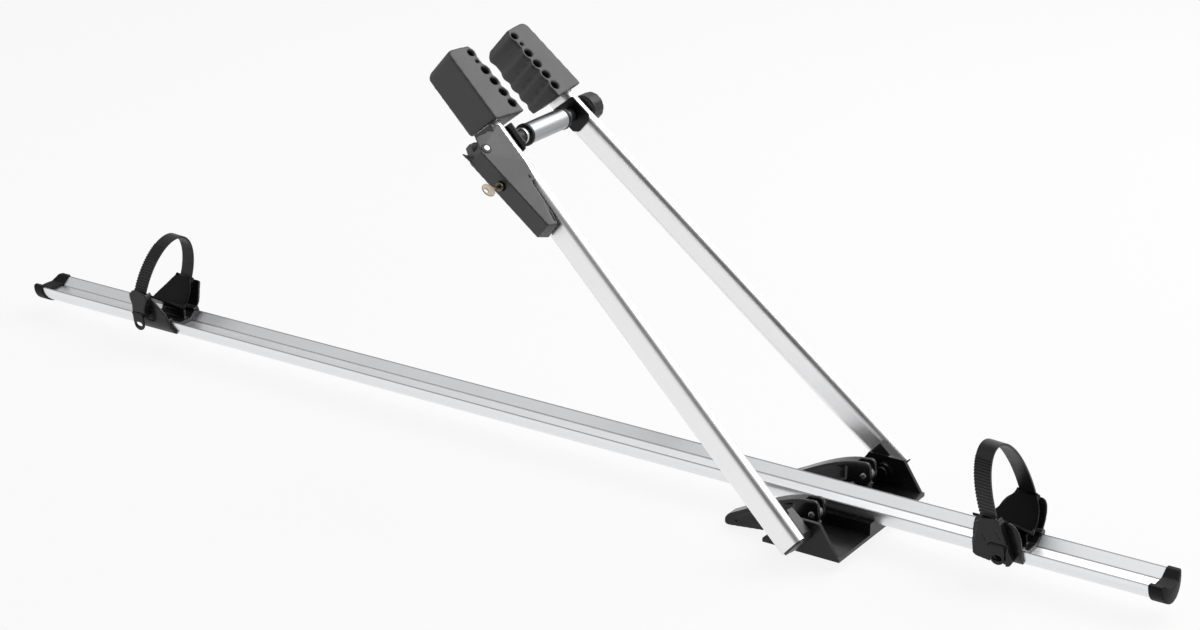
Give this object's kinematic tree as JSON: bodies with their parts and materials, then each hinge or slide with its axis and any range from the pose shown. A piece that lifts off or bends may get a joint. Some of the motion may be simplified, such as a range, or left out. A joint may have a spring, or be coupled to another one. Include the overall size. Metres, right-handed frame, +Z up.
{
  "type": "roof mounted bike carrier",
  "caption": "Roof bar bike carrier: wheel rail on a bar foot with clamp levers, folding twin-arm frame holder with jaws and lockable cam lever, sliding wheel cradles with ratchet straps.",
  "frame": {"origin": "middle of the foot's underside, straight below the fold pivot", "axes": "+X along the rail towards its front end, +Y across the roof bar's length to the far arm, +Z up"},
  "size_m": [1.436, 0.252, 0.4404],
  "materials": {
    "aluminium": "satin brushed extrusion",
    "gloss_black": "moulded gloss black",
    "satin_black": "moulded satin black",
    "rubber": "fine grained dark grey",
    "steel": "zinc plated",
    "brass": "nickel tinted"
  },
  "bodies": {
    "base": {"rail": "aluminium", "left_end_cap": "satin_black", "right_end_cap": "satin_black", "foot": "gloss_black", "foot_bolts": "steel", "slide_nuts": "steel", "cam_pads": "steel", "pivot_bolts": "steel"},
    "near_clamp_bolt": {"near_t_bolt": "steel", "near_rivet": "steel"},
    "near_clamp_lever": {"near_base_lever": "gloss_black"},
    "far_clamp_bolt": {"far_t_bolt": "steel", "far_rivet": "steel"},
    "far_clamp_lever": {"far_base_lever": "gloss_black"},
    "frame_holder": {"near_arm": "aluminium", "near_shoe": "satin_black", "near_jaw": "rubber", "near_jaw_screw": "steel", "near_plate": "steel", "spacer_tube": "aluminium", "spacer_rings": "satin_black", "spacer_washers": "steel", "spacer_bushes": "satin_black", "cam_seat": "satin_black"},
    "far_holder": {"far_arm": "aluminium", "far_shoe": "satin_black", "far_jaw": "rubber", "far_jaw_screw": "steel", "far_plate": "steel"},
    "draw_rod": {"draw_bolt": "steel", "lever_pin": "steel"},
    "cam_lever": {"clamp_lever": "satin_black", "lock_barrel": "brass"},
    "lock": {"lock_plug": "brass", "key": "brass"},
    "clamp_knob": {"knob": "satin_black", "knob_nut": "steel"},
    "left_cradle": {"left_saddle": "gloss_black", "left_tyre_pad": "gloss_black", "left_buckle": "satin_black", "left_anchor_pin": "steel", "left_tab_pin": "steel"},
    "left_wheel_strap": {"left_strap": "satin_black"},
    "left_release": {"left_tab": "satin_black"},
    "right_cradle": {"right_saddle": "gloss_black", "right_tyre_pad": "gloss_black", "right_buckle": "satin_black", "right_anchor_pin": "steel", "right_tab_pin": "steel"},
    "right_wheel_strap": {"right_strap": "satin_black"},
    "right_release": {"right_tab": "satin_black"}
  },
  "joints": [
    {"name": "fold", "type": "hinge", "parent": "base", "child": "frame_holder", "pos_m": [0, 0, 0.02], "axis": [0, 1, 0], "range_deg": [-37, 45]},
    {"name": "draw", "type": "slide", "parent": "frame_holder", "child": "draw_rod", "axis": [0, 1, 0], "range_m": [0, 0.0055]},
    {"name": "cam_lever_swing", "type": "hinge", "parent": "draw_rod", "child": "cam_lever", "pos_m": [-0.36313, -0.09934, 0.34302], "axis": [-0.66, 0, -0.7513], "range_deg": [0, 100]},
    {"name": "far_holder_swing", "type": "hinge", "parent": "frame_holder", "child": "far_holder", "pos_m": [0, 0.092, 0.02], "axis": [-0.66, 0, -0.7513], "range_deg": [0, 0.7]},
    {"name": "knob_spin", "type": "hinge", "parent": "draw_rod", "child": "clamp_knob", "pos_m": [-0.36313, 0, 0.34302], "axis": [0, 1, 0], "continuous": true},
    {"name": "key_turn", "type": "hinge", "parent": "cam_lever", "child": "lock", "pos_m": [-0.33804, -0.10563, 0.31464], "axis": [0.0688, 0.9958, -0.0604], "range_deg": [0, 90]},
    {"name": "near_bolt_drop", "type": "slide", "parent": "base", "child": "near_clamp_bolt", "axis": [0, 0, -1], "range_m": [0, 0.0037]},
    {"name": "near_lever_lift", "type": "hinge", "parent": "near_clamp_bolt", "child": "near_clamp_lever", "pos_m": [-0.004, -0.0535, 0.0275], "axis": [0, 1, 0], "range_deg": [0, 90]},
    {"name": "far_bolt_drop", "type": "slide", "parent": "base", "child": "far_clamp_bolt", "axis": [0, 0, -1], "range_m": [0, 0.0037]},
    {"name": "far_lever_lift", "type": "hinge", "parent": "far_clamp_bolt", "child": "far_clamp_lever", "pos_m": [-0.004, 0.0535, 0.0275], "axis": [0, 1, 0], "range_deg": [0, 90]},
    {"name": "left_cradle_slide", "type": "slide", "parent": "base", "child": "left_cradle", "axis": [1, 0, 0], "range_m": [-0.12, 0.15]},
    {"name": "left_strap_open", "type": "hinge", "parent": "left_cradle", "child": "left_wheel_strap", "pos_m": [-0.89455, 0.03281, 0.05925], "axis": [-0.9945, 0.1045, 0], "range_deg": [0, 60]},
    {"name": "left_tab_lift", "type": "hinge", "parent": "left_cradle", "child": "left_release", "pos_m": [-0.90555, -0.03651, 0.03445], "axis": [-1, 0, 0], "range_deg": [0, 60]},
    {"name": "right_cradle_slide", "type": "slide", "parent": "base", "child": "right_cradle", "axis": [1, 0, 0], "range_m": [-0.09, 0.1]},
    {"name": "right_strap_open", "type": "hinge", "parent": "right_cradle", "child": "right_wheel_strap", "pos_m": [0.17875, 0.03572, 0.05808], "axis": [-0.9945, 0.1045, 0], "range_deg": [0, 60]},
    {"name": "right_tab_lift", "type": "hinge", "parent": "right_cradle", "child": "right_release", "pos_m": [0.18245, -0.03651, 0.03445], "axis": [-1, 0, 0], "range_deg": [0, 60]}
  ],
  "couplings": [
    {"joint": "cam_lever_swing", "follows": "draw", "rad_per_m": 317.3},
    {"joint": "far_holder_swing", "follows": "draw", "rad_per_m": 1.968},
    {"joint": "near_bolt_drop", "follows": "near_lever_lift", "m_per_rad": 0.0023},
    {"joint": "far_bolt_drop", "follows": "far_lever_lift", "m_per_rad": 0.0023}
  ]
}
